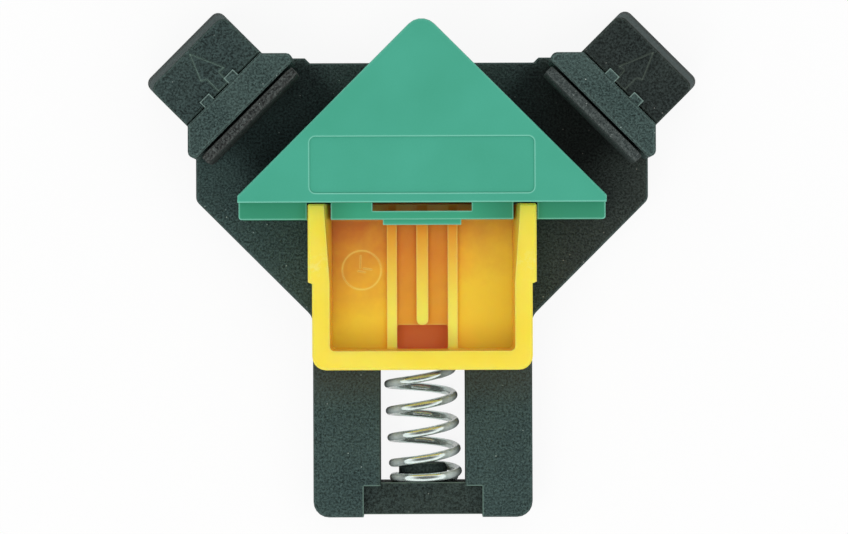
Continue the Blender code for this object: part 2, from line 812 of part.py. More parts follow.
def underside_reliefs():
    """Pockets under the tray floor, which leave runners on both edges of each rail."""
    ceiling = TRAY_FLOOR - TRAY_SKIN
    inner = SLOT_HALF_WIDTH + RUNNER_WIDTH + GAP
    outer = TRAY_HALF_WIDTH - RUNNER_WIDTH
    rear = TRAY_REAR + RUNNER_WIDTH
    front = ARM_END - RUNNER_WIDTH
    middle = (rear + front) / 2
    reliefs = []
    for side in (-1, 1):
        across = sorted((side * inner, side * outer))
        for name, span in (
            ("rear", (rear, middle - RUNNER_WIDTH / 2)),
            ("front", (middle + RUNNER_WIDTH / 2, front)),
        ):
            reliefs.append(
                box(f"relief_{name}_{side}", across, span, (DECK_TOP - OVERRUN, ceiling))
            )
    spring_room_rear = TRAY_INNER_REAR + POCKET_LENGTH + POCKET_SKIN
    reliefs.append(
        box(
            "spring_room",
            (-SLOT_HALF_WIDTH, SLOT_HALF_WIDTH),
            (spring_room_rear, TONGUE_REAR),
            (DECK_TOP - OVERRUN, ceiling),
        )
    )
    return reliefs


def tongue_parts():
    """The tongue that runs in the slot, with the spring seat and the two hooks."""
    tongue = box(
        "tongue",
        (-TONGUE_HALF_WIDTH, TONGUE_HALF_WIDTH),
        (TONGUE_REAR, TONGUE_FRONT),
        (TONGUE_BOTTOM, TRAY_FLOOR - TRAY_SKIN / 2),
    )
    hook_outer = TONGUE_HALF_WIDTH + HOOK_REACH
    hook_rear = TONGUE_REAR + TONGUE_SEAT
    hook_front = TONGUE_FRONT - GAP
    hook_foot = TONGUE_HALF_WIDTH + GAP
    hooks = loft(
        "hooks",
        (symmetric([(hook_foot, hook_rear), (hook_foot, hook_front)]), TONGUE_BOTTOM),
        (symmetric([(hook_outer, hook_rear), (hook_outer, hook_front)]), CHANNEL_HEIGHT - GAP),
    )
    join(tongue, hooks)
    inner = TONGUE_HALF_WIDTH - TONGUE_WALL
    hollow = box(
        "tongue_hollow",
        (-inner, inner),
        (TONGUE_REAR + TONGUE_SEAT, TONGUE_FRONT + OVERRUN),
        (TONGUE_BOTTOM - OVERRUN, DECK_TOP + GAP),
    )
    cut(tongue, hollow)
    return [tongue]


def carrier():
    """The plate that reaches under the corner block and carries its two pins."""
    return box(
        "carrier",
        (-CARRIER_HALF_WIDTH, CARRIER_HALF_WIDTH),
        (ARM_END - OVERRUN, CARRIER_FRONT),
        (DECK_TOP, CARRIER_TOP),
    )


def spring(look):
    """The compression spring, wound right-handed along Y between the two pegs."""
    start = CROSSBAR_FRONT + GAP + WIRE / 2
    end = TONGUE_REAR - GAP - WIRE / 2
    closed_rise = CLOSED_TURNS * WIRE * CLOSED_PITCH
    active_turns = (end - start - 2 * closed_rise) / SPRING_PITCH
    turns = active_turns + 2 * CLOSED_TURNS
    count = round(turns * POINTS_PER_TURN)
    curve = bpy.data.curves.new("compression_spring", "CURVE")
    curve.dimensions = "3D"
    curve.bevel_depth = WIRE / 2
    curve.bevel_resolution = 2
    curve.use_fill_caps = True
    line = curve.splines.new("POLY")
    line.points.add(count)
    for i, point in enumerate(line.points):
        turn = turns * i / count
        if turn < CLOSED_TURNS:
            rise = closed_rise * turn / CLOSED_TURNS
        elif turn > turns - CLOSED_TURNS:
            rise = end - start - closed_rise * (turns - turn) / CLOSED_TURNS
        else:
            rise = closed_rise + (turn - CLOSED_TURNS) * SPRING_PITCH
        angle = 2 * math.pi * (turn + SPRING_START_TURN)
        point.co = (
            COIL_RADIUS * math.sin(angle),
            start + rise,
            SPRING_AXIS_Z + COIL_RADIUS * math.cos(angle),
            1.0,
        )
    wound = bpy.data.objects.new("spring_path", curve)
    clamp.objects.link(wound)
    graph = bpy.context.evaluated_depsgraph_get()
    mesh = bpy.data.meshes.new_from_object(wound.evaluated_get(graph))
    bm = bmesh.new()
    bm.from_mesh(mesh)
    bmesh.ops.remove_doubles(bm, verts=bm.verts, dist=0.01 * MM)
    bpy.data.objects.remove(wound)
    made = new_object("compression_spring", bm)
    made.data.shade_smooth()
    return as_part(made, look)


def jaw_plate(side, name, look):
    outline = rounded(
        jaw_outline(
            PLATE_FACE,
            PLATE_BACK,
            JAW_PLATE_HALF_LENGTH,
            JAW_PLATE_HALF_LENGTH - JAW_PLATE_THICKNESS,
            JAW_PLATE_CORNER,
        )
    )
    plate = prism(name, outline, DECK_TOP, JAW_TOP)
    round_edges(plate, JAW_TOP, JAW_EDGE, 1)
    for i, place in enumerate((-1, 1)):
        middle = -side * TOOTH_SHIFT + place * TOOTH_SPACING / 2
        tooth = box(
            f"tooth_{side}_{i}",
            (PLATE_BACK - OVERRUN, PLATE_BACK + TOOTH_REACH),
            (middle - TOOTH_WIDTH / 2, middle + TOOTH_WIDTH / 2),
            (POST_TOP + GAP, JAW_TOP - JAW_EDGE),
        )
        tooth.parent = plate
        join(plate, tooth)
    place_on_jaw(plate, side)
    return as_part(plate, look)


def jaw_pad(side, name, look):
    pad = box(
        name,
        (PAD_FACE, PAD_FACE + PAD_THICKNESS),
        (-PAD_HALF_LENGTH, PAD_HALF_LENGTH),
        (DECK_TOP + GAP, JAW_TOP - GAP),
    )
    place_on_jaw(pad, side)
    return as_part(pad, look)


for old in list(bpy.data.objects):
    bpy.data.objects.remove(old)
clamp = collection("corner_clamp")
cutters = collection("cutters")

dark = material("dark_plastic", (0.034, 0.052, 0.049), 0.55)
jaw_grey = material("jaw_plastic", (0.064, 0.107, 0.098), 0.55)
mint = material("mint_plastic", (0.072, 0.413, 0.275), 0.5)
yellow = material("yellow_plastic", (0.93, 0.68, 0.045), 0.45)
steel = material("spring_steel", (0.78, 0.79, 0.8), 0.18, 1.0)
foam = material("pad_rubber", (0.042, 0.042, 0.044), 0.9)

carriage = bpy.data.objects.new("carriage", None)
clamp.objects.link(carriage)
carriage.location = (0.0, TONGUE_REAR, SPRING_AXIS_Z)
bpy.context.view_layer.update()

base_frame(dark)
finger_slider(yellow, carriage)
corner_block(mint, carriage)
spring(steel)
for hand, sign in (("left", -1), ("right", 1)):
    jaw_plate(sign, f"jaw_plate_{hand}", jaw_grey)
    jaw_pad(sign, f"jaw_pad_{hand}", foam)
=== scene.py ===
"""Looks of the one-hand corner clamp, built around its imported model.

The camera looks straight down from above, +Y up in the picture. All lengths are metres in the
model's own frame.
"""

import math

import bmesh
import bpy
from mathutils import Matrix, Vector


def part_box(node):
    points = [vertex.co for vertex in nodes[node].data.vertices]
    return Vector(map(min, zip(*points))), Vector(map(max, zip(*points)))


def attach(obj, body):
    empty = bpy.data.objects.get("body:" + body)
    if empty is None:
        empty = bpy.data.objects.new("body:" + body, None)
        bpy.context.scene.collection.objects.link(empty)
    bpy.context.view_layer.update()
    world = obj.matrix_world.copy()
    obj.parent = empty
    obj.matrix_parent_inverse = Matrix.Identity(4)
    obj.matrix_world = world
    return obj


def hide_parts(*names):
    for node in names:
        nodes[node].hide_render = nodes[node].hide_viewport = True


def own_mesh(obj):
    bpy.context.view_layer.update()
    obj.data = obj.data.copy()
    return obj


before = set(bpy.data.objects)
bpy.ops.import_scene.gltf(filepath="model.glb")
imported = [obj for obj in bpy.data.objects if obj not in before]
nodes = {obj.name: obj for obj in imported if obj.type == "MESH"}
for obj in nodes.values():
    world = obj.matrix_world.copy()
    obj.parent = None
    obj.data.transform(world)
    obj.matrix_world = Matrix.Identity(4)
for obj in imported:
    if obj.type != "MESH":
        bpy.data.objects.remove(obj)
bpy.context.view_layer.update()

MM = 0.001
FULL_TURN = 2 * math.pi
WHITE = (1.0, 1.0, 1.0)

# Camera: the picture is 848 pixels wide and shows 0.22 mm per pixel at the height of the arms
PICTURE_WIDTH = 848
MM_PER_PIXEL = 0.22
SCALE_HEIGHT = 30 * MM
CAMERA_HEIGHT = 1100 * MM
CAMERA_X = 0.38 * MM
CAMERA_Y = -0.95 * MM
CAMERA_TURN = -0.0035
SENSOR_WIDTH = 36.0

# Where the model's parts end, which is where tones change
RAIL_TOP = 18.0 * MM
DECK_TOP = 18.3 * MM
TRAY_FLOOR = 24.0 * MM
TRAY_TOP = 38.0 * MM
TRAY_HALF = 20.3 * MM
TRAY_REAR = -19.35 * MM
RIB_FIELD = 5.8 * MM
LEDGE_TOP = 34.0 * MM
LEDGE_REAR = 9.5 * MM
# The middle of the pale stress marks, just ahead of the step in the arms
STRESS_MARK = -0.5 * MM

# Spring, wound from its rear end, and the slight lean that it takes between its two ends
WIRE = 1.9 * MM
WIRE_SIDES = 14
STEPS_PER_TURN = 36
SPRING_PITCH = 6.0 * MM
SPRING_START_TURN = 0.32
CLOSED_TURNS = 1.4
CLOSED_RISE = 2.82 * MM
# How far the wire has climbed (mm) after that many turns from its rear end
REAR_CLIMB = [
    (0.0, 0.0),
    (0.72, 0.0),
    (0.82, 0.5),
    (0.93, 1.4),
    (1.0, 1.98),
    (1.2, 2.6),
    (1.43, 3.2),
    (1.68, 4.7),
    (1.93, 6.1),
]
CROSSBAR_FRONT = -48.95 * MM
CROSSBAR_CLEARANCE = 0.02 * MM
LEAN_REAR = 0.7 * MM
LEAN_SLOPE = -0.055
LEAN_END = -24.0 * MM
COIL_TURN = 0.041
COIL_TILT = -0.05
# Turns from the rear end and from the front end where the coils lean, and how fast it comes
COIL_LEAN_START = 0.9
COIL_LEAN_STOP = 1.2
COIL_LEAN_RAMP = 0.8
# The climb's corners are rounded by that many passes over that many steps to each side
ROUNDING_PASSES = 3
ROUNDING_REACH = 3
# The cut ends of the wire are broken by this share of its radius
END_BREAK = 0.14

# Softened edges of the rigid pieces: what counts as flat and as sharp, in degrees
FLAT_ANGLE = 1.0
SHARP_ANGLE = 35.0

# Rubber pads
PAD_CORNER = 0.6 * MM
PAD_CROWN = 0.12 * MM
PAD_INSET = 0.1 * MM
PAD_CUTS = 15

# Arrows on the blocks: corners as (OUT, ALONG) in mm, the foot's depth and the whole thickness
ARROW = [
    (68.1, -3.45),
    (62.05, -6.0),
    (61.45, -4.8),
    (57.7, -4.8),
    (57.7, -1.75),
    (60.75, -1.75),
    (60.5, -0.2),
]
ARROW_FOOT = 0.2 * MM
ARROW_THICKNESS = 0.65 * MM

# Date mark in the tray: a ring and strokes (mm, from its middle), with feet sunk in the floor
MARK_X = -13.4 * MM
MARK_Y = -1.6 * MM
MARK_RADIUS = 4.3 * MM
MARK_STEPS = 48
MARK_RING_HALF = 0.12 * MM
MARK_STROKE_HALF = 0.13 * MM
MARK_FOOT = 0.1 * MM
MARK_STROKE_TOP = 0.03 * MM
MARK_STROKES = [
    ((-0.3, 0.4), (-0.2, 3.3)),
    ((0.3, 0.4), (2.3, 0.1)),
    ((-0.9, -0.2), (0.9, -0.5)),
]

# The jaws' own axes: OUT from the middle of the clamp, ALONG the jaw towards its front end
SLANT = math.sqrt(0.5)

# Floor: half its width, and how white it looks by itself to the camera and in mirrors
FLOOR_HALF = 4.0
FLOOR_SEEN = 0.9
FLOOR_MIRRORED = 0.55
# Light from all sides, and the heights where the mirrored white fades to its darkest
SKY_LIGHT = 0.5
FADE_FROM = 0.6
FADE_TO = 0.9
FADE_DARKEST = 0.03
# Lamps: where each stands, its width and its power
LAMPS = {
    "key": ((-0.15, -0.25, 0.9), 0.5, 3.0),
    "fill": ((0.3, -0.1, 0.9), 0.6, 1.56),
    "back": ((0.0, 0.35, 0.85), 0.6, 0.9),
}
LAMP_AIM = Vector((0.0, 0.0, 0.02))


def linear(*channels):
    """A colour given as 0 to 255 on screen, as the linear values that shaders take."""
    return tuple(
        c / 255 / 12.92 if c / 255 <= 0.04045 else ((c / 255 + 0.055) / 1.055) ** 2.4
        for c in channels
    )


class Nodes:
    """A short way to add nodes to a tree."""

    def __init__(self, tree):
        self.tree = tree

    def put(self, socket, value):
        """Sets a socket to a value or links another node's output to it."""
        if isinstance(value, bpy.types.NodeSocket):
            self.tree.links.new(value, socket)
        elif socket.type == "RGBA":
            socket.default_value = (*value, 1.0)
        else:
            socket.default_value = value

    def add(self, kind, inputs=None, **settings):
        node = self.tree.nodes.new(kind)
        for name, value in settings.items():
            setattr(node, name, value)
        for name, value in (inputs or {}).items():
            self.put(node.inputs[name], value)
        return node

    def spread(self, value, low, high, to_low=0.0, to_high=1.0):
        """A value moved from one range to another and held inside it."""
        ranges = {"From Min": low, "From Max": high, "To Min": to_low, "To Max": to_high}
        return self.add("ShaderNodeMapRange", {"Value": value, **ranges}).outputs["Result"]

    def math(self, operation, *values):
        return self.add("ShaderNodeMath", dict(enumerate(values)), operation=operation).outputs[0]

    def times(self, first, *others):
        for other in others:
            first = self.math("MULTIPLY", first, other)
        return first

    def most(self, first, second):
        return self.math("MAXIMUM", first, second)

    def size(self, value):
        return self.math("ABSOLUTE", value)

    def mix(self, share, first, second, blend="MIX"):
        """Two colours, or two nodes' colours, mixed by a share."""
        inputs = {0: share, 6: first, 7: second}
        node = self.add("ShaderNodeMix", inputs, data_type="RGBA", blend_type=blend)
        return node.outputs[2]

    def tint(self, share, base, colour):
        """A share of the base goes through a coloured filter."""
        return self.mix(share, base, self.mix(1.0, base, colour, "MULTIPLY"))

    def rays(self):
        """Whether a ray comes from the camera, and whether it was mirrored or passed glass."""
        path = self.add("ShaderNodeLightPath").outputs
        return path["Is Camera Ray"], self.most(path["Is Glossy Ray"], path["Is Transmission Ray"])


class Finish(Nodes):
    """A Principled material, the nodes on it and its base colour."""

    def __init__(self, name, settings):
        self.material = bpy.data.materials.new(name)
        self.material.use_nodes = True
        super().__init__(self.material.node_tree)
        self.shader = self.tree.nodes["Principled BSDF"]
        self.set(settings)

    def set(self, settings):
        for name, value in settings.items():
            self.put(self.shader.inputs[name], value)

    def colour(self, value):
        self.base = value
        self.set({"Base Color": value})

    def bump(self, height, depth, strength):
        inputs = {"Height": height, "Distance": depth, "Strength": strength}
        self.set({"Normal": self.add("ShaderNodeBump", inputs).outputs["Normal"]})

    def place(self):
        """Coordinates that travel with the piece."""
        return self.add("ShaderNodeTexCoord").outputs["Object"]

    def axes(self):
        """The X, Y and Z of a point on the piece, in metres."""
        parts = self.add("ShaderNodeSeparateXYZ", {"Vector": self.place()})
        return [parts.outputs[name] for name in ("X", "Y", "Z")]

    def upward(self):
        """1 on faces that look up, 0 on upright ones."""
        facing = self.add("ShaderNodeTexCoord").outputs["Normal"]
        parts = self.add("ShaderNodeSeparateXYZ", {"Vector": facing})
        return self.spread(parts.outputs["Z"], 0.3, 0.7)

    def noise(self, size, detail=2.0, roughness=0.5):
        """Noise whose features are about that size."""
        inputs = {
            "Vector": self.place(),
            "Scale": 1.0 / size,
            "Detail": detail,
            "Roughness": roughness,
        }
        return self.add("ShaderNodeTexNoise", inputs).outputs["Fac"]

    def cells(self, size):
        """Random cells of about that size, as (distance to the middle, red, green) of each."""
        inputs = {"Vector": self.place(), "Scale": 1.0 / size}
        node = self.add("ShaderNodeTexVoronoi", inputs)
        parts = self.add("ShaderNodeSeparateColor", {"Color": node.outputs["Color"]})
        return node.outputs["Distance"], parts.outputs["Red"], parts.outputs["Green"]

    def specks(self, spacing, size, share):
        """Small round specks in a share of the cells of a grid."""
        distance, draw, _ = self.cells(spacing)
        near = self.spread(distance, size / spacing, 0.4 * size / spacing)
        return self.times(near, self.spread(draw, 1.0 - share, 1.0 - share + 0.01))

    def edges(self, width):
        """How close a point is to an outer edge, from 0 on flat faces."""
        inputs = {"Distance": width}
        inside = self.add("ShaderNodeAmbientOcclusion", inputs, inside=True, samples=8)
        return self.spread(inside.outputs["AO"], 0.95, 0.6)


def grained_plastic(name, colour, pale, speck, edge_highlight_share):
    """Dark moulded plastic with an eroded grain, pale specks of dust and painted highlights on its
    edges.
    """
    made = Finish(name, {"Specular IOR Level": 0.08})
    grain = made.noise(0.5 * MM, 3.0, 0.85)
    patch = made.noise(2.2 * MM, 2.0, 0.6)
    tone = made.noise(9 * MM)
    darker = tuple(0.3 * c for c in colour)
    brighter = tuple(2.3 * c for c in colour)
    base = made.mix(made.spread(grain, 0.4, 0.6), darker, brighter)
    base = made.mix(made.spread(patch, 0.35, 0.7, 0.0, 0.3), base, colour)
    base = made.mix(made.spread(tone, 0.3, 0.7, 0.0, 0.2), base, made.mix(0.4, base, pale))
    # Painted highlights along the outer edges
    base = made.mix(made.times(made.edges(0.34 * MM), edge_highlight_share), base, pale)
    base = made.mix(made.specks(1.5 * MM, 0.17 * MM, 0.22), base, speck)
    made.colour(base)
    made.set({"Roughness": made.spread(grain, 0.3, 0.7, 0.6, 0.78)})
    made.bump(grain, 0.06 * MM, 0.6)
    return made


def base_plastic():
    """The base's plastic: browner on its deck, browner and darker from painted shade on its low
    parts, and darkest from painted shade between block and pads.
    """
    made = grained_plastic(
        "dark_plastic", linear(46, 60, 59), linear(108, 134, 124), linear(150, 166, 160), 1.0
    )
    x, y, z = made.axes()
    upward = made.upward()
    deck = made.times(
        made.spread(z, DECK_TOP + 0.3 * MM, DECK_TOP + 0.1 * MM),
        made.spread(z, RAIL_TOP - 0.4 * MM, RAIL_TOP - 0.1 * MM),
        upward,
    )
    # Browner towards the front and the right of the deck
    brown = made.most(
        made.spread(y, 30 * MM, 44 * MM, 0.0, 0.5), made.spread(x, 14 * MM, 32 * MM)
    )
    brown = made.times(brown, made.spread(y, -20 * MM, -10 * MM), deck, 0.9)
    base = made.tint(brown, made.base, linear(226, 196, 190))
    # Painted warm reflection of the tray, with painted shade, on the rails behind it
    near = made.spread(made.size(made.math("SUBTRACT", y, -24 * MM)), 9 * MM, 2 * MM)
    base = made.mix(made.times(near, 0.35), base, linear(64, 58, 49))
    # Painted shade darkens the low shelves and the feet of the sides
    shelf_shade = made.times(made.spread(z, RAIL_TOP - 0.1 * MM, 16.5 * MM, 0.0, 0.6), upward)
    low = made.most(made.spread(z, RAIL_TOP - 0.1 * MM, 12 * MM, 0.0, 0.6), shelf_shade)
    base = made.tint(low, base, linear(196, 170, 160))
    # Painted shade darkens the deck between block and pads
    across = made.size(x)
    out = made.times(made.math("ADD", across, y), SLANT)
    along = made.times(made.math("SUBTRACT", y, across), SLANT)
    throat_shade = made.times(
        made.spread(out, 35 * MM, 39 * MM),
        made.spread(out, 52 * MM, 48 * MM),
        made.spread(along, -15 * MM, -9 * MM),
        made.spread(along, 16 * MM, 12 * MM),
        deck,
        0.75,
    )
    base = made.tint(throat_shade, base, linear(130, 130, 134))
    # The tops of the blocks are darker, the right one more so
    post = made.times(
        made.spread(z, 36 * MM, 38 * MM), made.spread(x, -20 * MM, 20 * MM, 0.35, 0.95)
    )
    made.colour(made.tint(post, base, linear(200, 180, 178)))
    return made.material


def mint_plastic():
    """Satin mint plastic with a soft flow tone, painted highlights on its edges and a deeper
    painted light tone on its low ledge, with painted shade at the ledge's ends.
    """
    made = Finish("mint_plastic", {"Specular IOR Level": 0.3})
    grain = made.noise(0.3 * MM, 2.0, 0.6)
    flow = made.noise(14 * MM)
    base = made.mix(made.spread(flow, 0.3, 0.7), linear(64, 161, 134), linear(69, 167, 141))
    base = made.mix(made.spread(grain, 0.35, 0.65, 0.0, 0.12), base, linear(60, 150, 122))
    x, y, z = made.axes()
    # Painted tone for how light falls on the low ledge
    low = made.spread(z, LEDGE_TOP + 2 * MM, LEDGE_TOP - 1 * MM, 0.0, 0.8)
    base = made.mix(low, base, linear(62, 172, 129))
    # Painted shade darkens the ledge towards its two ends, near the arms, and its tab is as pale
    # as the top
    left = made.spread(x, -14 * MM, -20.5 * MM, 0.0, 0.75)
    right = made.spread(x, 9 * MM, 18 * MM, 0.0, 0.85)
    base = made.mix(made.times(made.most(left, right), low), base, linear(40, 112, 84))
    tab = made.times(made.spread(y, LEDGE_REAR, LEDGE_REAR - 0.1 * MM), low)
    base = made.mix(tab, base, linear(73, 173, 144))
    # Painted highlights along the edges
    base = made.mix(made.times(made.edges(0.4 * MM), 0.75), base, linear(140, 216, 194))
    made.colour(base)
    made.set({"Roughness": made.spread(grain, 0.3, 0.7, 0.42, 0.55)})
    made.bump(grain, 0.02 * MM, 0.35)
    return made.material


def yellow_plastic(name, edge_highlight_share, depth, filtered=WHITE):
    """Translucent yellow plastic with painted shade and light: bright rims and rib ends, amber
    floor, orange in the pocket, and painted edge highlights.
    """
    made = Finish(
        name,
        {
            "Specular IOR Level": 0.35,
            "Subsurface Weight": depth,
            "Subsurface Radius": (1.0, 0.55, 0.12),
            "Subsurface Scale": 7.0 * MM,
        },
    )
    x, y, z = made.axes()
    across = made.size(x)
    flow = made.noise(10 * MM)
    cloud = made.noise(5 * MM, 3.0, 0.6)
    grain = made.noise(0.4 * MM)
    bright = made.mix(made.spread(flow, 0.3, 0.7), linear(253, 217, 68), linear(255, 223, 86))
    # Painted shade on the floor: it is palest towards its rear right corner and deepest at its
    # front left one
    along = made.math("SUBTRACT", made.times(x, 0.35), y)
    along = made.math("ADD", along, made.spread(cloud, 0.25, 0.75, -3 * MM, 3 * MM))
    floor = made.mix(
        made.spread(along, -14 * MM, 9 * MM), linear(209, 120, 52), linear(255, 205, 62)
    )
    # Painted light makes it paler again under the ledge, and painted shade makes it deeper between
    # the ribs
    ahead = LEDGE_REAR + 1 * MM
    behind = LEDGE_REAR - 0.5 * MM
    floor = made.mix(made.spread(y, behind, ahead), floor, linear(255, 196, 104))
    channels = made.times(
        made.spread(across, RIB_FIELD + 0.4 * MM, RIB_FIELD - 0.4 * MM),
        made.spread(y, ahead, behind, 0.0, 0.6),
    )
    floor = made.mix(channels, floor, linear(214, 121, 48))
    # Painted shade: the pocket below the floor is orange
    lower = made.mix(
        made.spread(z, 20 * MM, TRAY_FLOOR - 0.2 * MM), linear(255, 135, 74), floor
    )
    # Painted shade: the ribs deepen towards the ledge
    rib = made.mix(
        made.spread(y, 8 * MM, -14 * MM), linear(244, 151, 48), linear(255, 249, 104)
    )
    raised = made.mix(
        made.spread(z, TRAY_FLOOR + 0.3 * MM, TRAY_FLOOR + 1.6 * MM), lower, rib
    )
    # Painted shade: the tone deepens from the rims down to the floor
    base = made.mix(made.spread(z, TRAY_FLOOR + 2.4 * MM, 35 * MM), raised, bright)
    # Painted shade makes the inner walls amber, down to their feet
    wall_shade = made.times(
        made.most(
            made.spread(across, TRAY_HALF - 1 * MM, TRAY_HALF - 0.4 * MM),
            made.spread(y, TRAY_REAR + 0.95 * MM, TRAY_REAR + 0.35 * MM),
        ),
        made.spread(z, TRAY_TOP - 0.4 * MM, 31 * MM),
        made.spread(z, TRAY_FLOOR + 0.6 * MM, TRAY_FLOOR + 2.8 * MM),
        0.85,
    )
    base = made.mix(wall_shade, base, linear(255, 188, 60))
    # Only the inside of the tray has the painted shade
    within = made.times(
        made.spread(across, TRAY_HALF + 0.6 * MM, TRAY_HALF),
        made.spread(y, TRAY_REAR - 0.55 * MM, TRAY_REAR + 0.05 * MM),
    )
    base = made.mix(within, bright, base)
    # Pale stress marks on top of the arms
    mark = made.times(
        made.spread(made.size(made.math("SUBTRACT", y, STRESS_MARK)), 4 * MM, 1 * MM),
        made.spread(z, TRAY_TOP - 1 * MM, TRAY_TOP - 0.4 * MM),
        made.spread(made.noise(1.6 * MM, 3.0, 0.7), 0.5, 0.7, 0.0, 0.4),
    )
    base = made.mix(mark, base, linear(252, 240, 170))
    # Painted highlights along the edges
    edges = made.times(made.edges(0.4 * MM), edge_highlight_share)
    base = made.mix(edges, base, linear(255, 244, 140))
    made.colour(made.mix(1.0, base, filtered, "MULTIPLY"))
    made.set({"Roughness": made.spread(grain, 0.3, 0.7, 0.36, 0.46)})
    made.bump(grain, 0.015 * MM, 0.3)
    return made.material


def spring_steel():
    """Zinc plated wire: a mirror across the coils, and on their bends less metallic so that their
    pale colour is a painted reflection.
    """
    made = Finish(
        "spring_steel",
        {"Specular IOR Level": 0.8, "Coat Weight": 0.5, "Coat Roughness": 0.05},
    )
    marks = made.noise(0.7 * MM, 3.0, 0.6)
    base = made.mix(made.spread(marks, 0.3, 0.7), linear(214, 232, 227), linear(242, 252, 249))
    made.colour(base)
    across = made.size(made.axes()[0])
    # Less metallic on the bends: their pale colour stands in for the white they reflect, as a
    # painted reflection
    made.set(
        {
            "Metallic": made.spread(across, 3.5 * MM, 6.2 * MM, 0.85, 0.15),
            "Roughness": made.spread(marks, 0.3, 0.7, 0.07, 0.18),
        }
    )
    made.bump(marks, 0.01 * MM, 0.25)
    return made.material


def pad_rubber():
    """Dark bound rubber: fine grey and black crumbs with a rough skin."""
    made = Finish("pad_rubber", {"Roughness": 0.92, "Specular IOR Level": 0.2})
    distance, _, shade = made.cells(0.3 * MM)
    clump = made.noise(0.9 * MM, 2.0, 0.6)
    base = made.mix(made.spread(shade, 0.1, 0.95), linear(26, 29, 29), linear(82, 88, 86))
    base = made.mix(made.spread(clump, 0.4, 0.7, 0.0, 0.6), base, linear(36, 37, 36))
    base = made.mix(made.specks(0.9 * MM, 0.15 * MM, 0.3), base, linear(140, 146, 142))
    # Painted highlights along the edges
    base = made.mix(made.times(made.edges(0.6 * MM), 0.5), base, linear(112, 114, 110))
    # The right pad is the dustier one
    dust = made.spread(made.axes()[0], -5 * MM, 5 * MM, 0.0, 0.09)
    made.colour(made.mix(dust, base, linear(112, 134, 132)))
    made.bump(distance, 0.1 * MM, 0.8)
    return made.material


def soften(made, width):
    """Rounds the sharp edges of a rigid piece and keeps its flat faces flat."""
    merge = made.modifiers.new("flat_faces", "DECIMATE")
    merge.decimate_type = "DISSOLVE"
    merge.angle_limit = math.radians(FLAT_ANGLE)
    bevel = made.modifiers.new("soft_edges", "BEVEL")
    bevel.width = width
    bevel.segments = 2
    bevel.limit_method = "ANGLE"
    bevel.angle_limit = math.radians(SHARP_ANGLE)
    bevel.harden_normals = True
    made.data.shade_smooth()


def link_mesh(name, bm, look):
    """A bmesh as an object of the scene."""
    mesh = bpy.data.meshes.new(name)
    bm.to_mesh(mesh)
    bm.free()
    made = bpy.data.objects.new(name, mesh)
    bpy.context.scene.collection.objects.link(made)
    mesh.materials.append(look)
    return made


def add_piece(name, bm, look, body):
    """A bmesh as a piece that rides on a body."""
    bmesh.ops.recalc_face_normals(bm, faces=bm.faces)
    made = link_mesh(name, bm, look)
    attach(made, body)
    return made


def jaw_frame(node):
    """(side, lowest and highest OUT, ALONG and Z) of a jaw piece, from its CAD mesh."""
    points = [v.co for v in nodes[node].data.vertices]
    side = 1 if points[0].x > 0 else -1
    out = [SLANT * (side * p.x + p.y) for p in points]
    along = [SLANT * (p.y - side * p.x) for p in points]
    height = [p.z for p in points]
    return side, [(min(span), max(span)) for span in (out, along, height)]


def jaw_point(side, out, along, z):
    return Vector((side * SLANT * (out - along), SLANT * (out + along), z))


def add_pad(hand, look):
    """A rubber pad with softened edges and slightly crowned faces."""
    side, spans = jaw_frame(f"jaw_pad_{hand}")
    middle = [(high + low) / 2 for low, high in spans]
    half = [(high - low) / 2 - PAD_CROWN - PAD_INSET for low, high in spans]
    bm = bmesh.new()
    bmesh.ops.create_cube(bm, size=1.0)
    bmesh.ops.subdivide_edges(bm, edges=bm.edges, cuts=PAD_CUTS, use_grid_fill=True)
    for vert in bm.verts:
        place = [2 * c * h for c, h in zip(vert.co, half)]
        core = [max(PAD_CORNER - h, min(h - PAD_CORNER, c)) for c, h in zip(place, half)]
        push = Vector(c - k for c, k in zip(place, core))
        if push.length > PAD_CORNER:
            push *= PAD_CORNER / push.length
        grown = [k + p for k, p in zip(core, push)]
        bulge = PAD_CROWN * (1 - (2 * vert.co.y) ** 2) * (1 - (2 * vert.co.z) ** 2)
        grown[0] += math.copysign(bulge, vert.co.x)
        vert.co = jaw_point(side, *(m + g for m, g in zip(middle, grown)))
    made = add_piece(f"pad_cushion_{hand}", bm, look, "base")
    made.data.shade_smooth()
    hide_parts(f"jaw_pad_{hand}")


def add_arrow(hand, look):
    """The raised arrow on top of the block behind a jaw, pointing outwards."""
    side = 1 if hand == "right" else -1
    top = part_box("base_frame")[1][2]
    corners = [jaw_point(side, out * MM, along * MM, top - ARROW_FOOT) for out, along in ARROW]
    bm = bmesh.new()
    face = bm.faces.new([bm.verts.new(corner) for corner in corners])
    raised = bmesh.ops.extrude_face_region(bm, geom=[face], use_keep_orig=True)["geom"]
    verts = [v for v in raised if isinstance(v, bmesh.types.BMVert)]
    bmesh.ops.translate(bm, verts=verts, vec=(0, 0, ARROW_THICKNESS))
    made = add_piece(f"jaw_arrow_{hand}", bm, look, "base")
    soften(made, 0.12 * MM)


